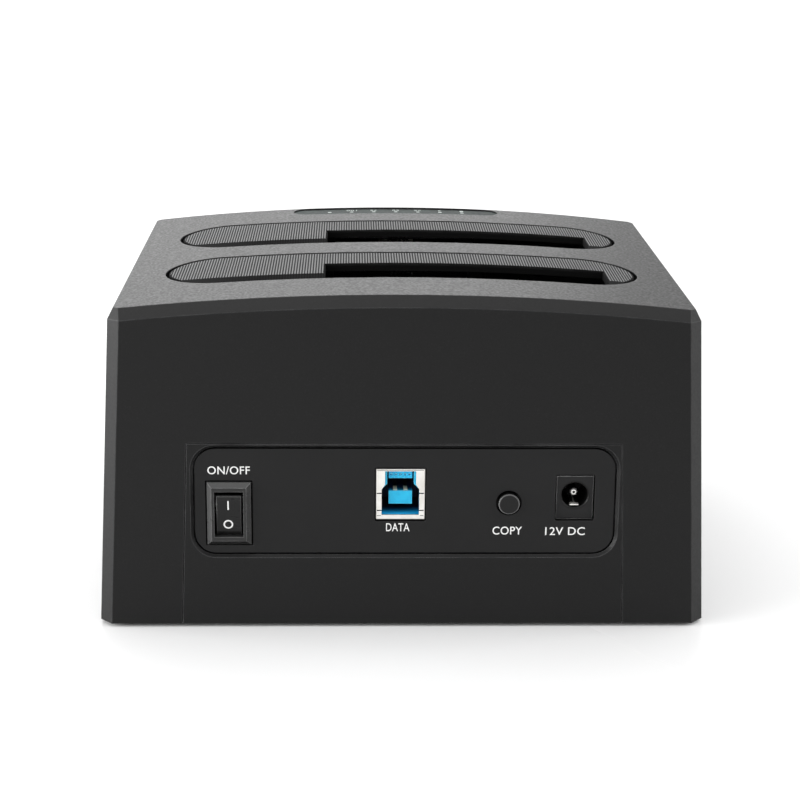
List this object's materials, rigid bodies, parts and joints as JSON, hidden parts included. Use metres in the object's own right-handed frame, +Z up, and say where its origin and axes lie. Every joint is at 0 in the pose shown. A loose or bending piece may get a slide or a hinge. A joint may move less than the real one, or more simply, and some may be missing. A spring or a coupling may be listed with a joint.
{
  "type": "hard drive docking station",
  "caption": "Hard drive docking station: drafted case with an arched top, sprung bay flaps over drive wells, and a rear panel with rocker switch, USB-B socket, button and DC jack.",
  "frame": {"origin": "centre of the footprint, on the surface that the rubber feet stand on", "axes": "+Z up, +Y out of the rear face with the port panel, +X to the left when facing that panel"},
  "size_m": [0.1488, 0.1194, 0.0823],
  "materials": {
    "housing_plastic": "fine textured black",
    "base_plastic": "fine textured black",
    "panel_plastic": "smooth dark grey",
    "flap_plastic": "ribbed dark grey",
    "well_plastic": "smooth black",
    "switch_plastic": "satin black",
    "button_plastic": "satin black",
    "window_plastic": "glossy smoked green",
    "foot_rubber": "matt",
    "screw_steel": "zinc plated",
    "spring_steel": "bright wire",
    "shell_metal": "tin plated",
    "usb_blue": "moulded blue",
    "contact_gold": "gold plated",
    "connector_plastic": "moulded black",
    "pin_metal": "nickel plated",
    "board_green": "solder mask",
    "chip_black": "moulded epoxy",
    "can_aluminium": "drawn can",
    "choke_grey": "ferrite",
    "lamp_white": "clear resin",
    "ribbon_grey": "flat cable",
    "header_white": "nylon",
    "crystal_metal": "can"
  },
  "bodies": {
    "dock": {"upper_housing": "housing_plastic", "base": "base_plastic", "rubber_feet": "foot_rubber", "case_screws": "screw_steel", "board_screws": "screw_steel", "well_screws": "screw_steel", "light_board_screws": "screw_steel", "port_panel": "panel_plastic", "rear_drive_well": "well_plastic", "front_drive_well": "well_plastic", "rear_flap_pin": "spring_steel", "front_flap_pin": "spring_steel", "rear_flap_spring": "spring_steel", "front_flap_spring": "spring_steel", "rear_sata_connector": "connector_plastic", "front_sata_connector": "connector_plastic", "rear_sata_contacts": "contact_gold", "front_sata_contacts": "contact_gold", "main_board": "board_green", "usb_shell": "shell_metal", "usb_insulator": "usb_blue", "usb_contacts": "contact_gold", "dc_jack_body": "connector_plastic", "dc_jack_pin": "pin_metal", "dc_jack_spring": "pin_metal", "tact_switch": "connector_plastic", "rocker_housing": "switch_plastic", "switch_terminals": "pin_metal", "light_window": "window_plastic", "light_board": "board_green", "status_lamps": "lamp_white", "ribbon_headers": "header_white", "light_ribbon": "ribbon_grey", "capacitors": "can_aluminium", "inductors": "choke_grey", "bridge_chip": "chip_black", "flash_chip": "chip_black", "crystal": "crystal_metal"},
    "rear_flap": {"rear_bay_flap": "flap_plastic"},
    "front_flap": {"front_bay_flap": "flap_plastic"},
    "copy_button": {"copy_button": "button_plastic", "tact_plunger": "chip_black"},
    "power_rocker": {"rocker": "switch_plastic"}
  },
  "joints": [
    {"name": "rear_flap_hinge", "type": "hinge", "parent": "dock", "child": "rear_flap", "pos_m": [0, 0.00205, 0.077], "axis": [-1, 0, 0], "range_deg": [0, 90], "stiffness_Nm_per_rad": 0.008, "springref_deg": -40.11, "deforming": ["rear_flap_spring"]},
    {"name": "front_flap_hinge", "type": "hinge", "parent": "dock", "child": "front_flap", "pos_m": [0, -0.03865, 0.077], "axis": [-1, 0, 0], "range_deg": [0, 90], "stiffness_Nm_per_rad": 0.008, "springref_deg": -40.11, "deforming": ["front_flap_spring"]},
    {"name": "copy_button_press", "type": "slide", "parent": "dock", "child": "copy_button", "axis": [0, -1, 0], "range_m": [0, 0.0005], "stiffness_N_per_m": 1500, "springref_m": -0.0003},
    {"name": "power_rocker_tilt", "type": "hinge", "parent": "dock", "child": "power_rocker", "pos_m": [0.0423, 0.05581, 0.02894], "axis": [1, 0, 0], "range_deg": [0, 18]}
  ]
}
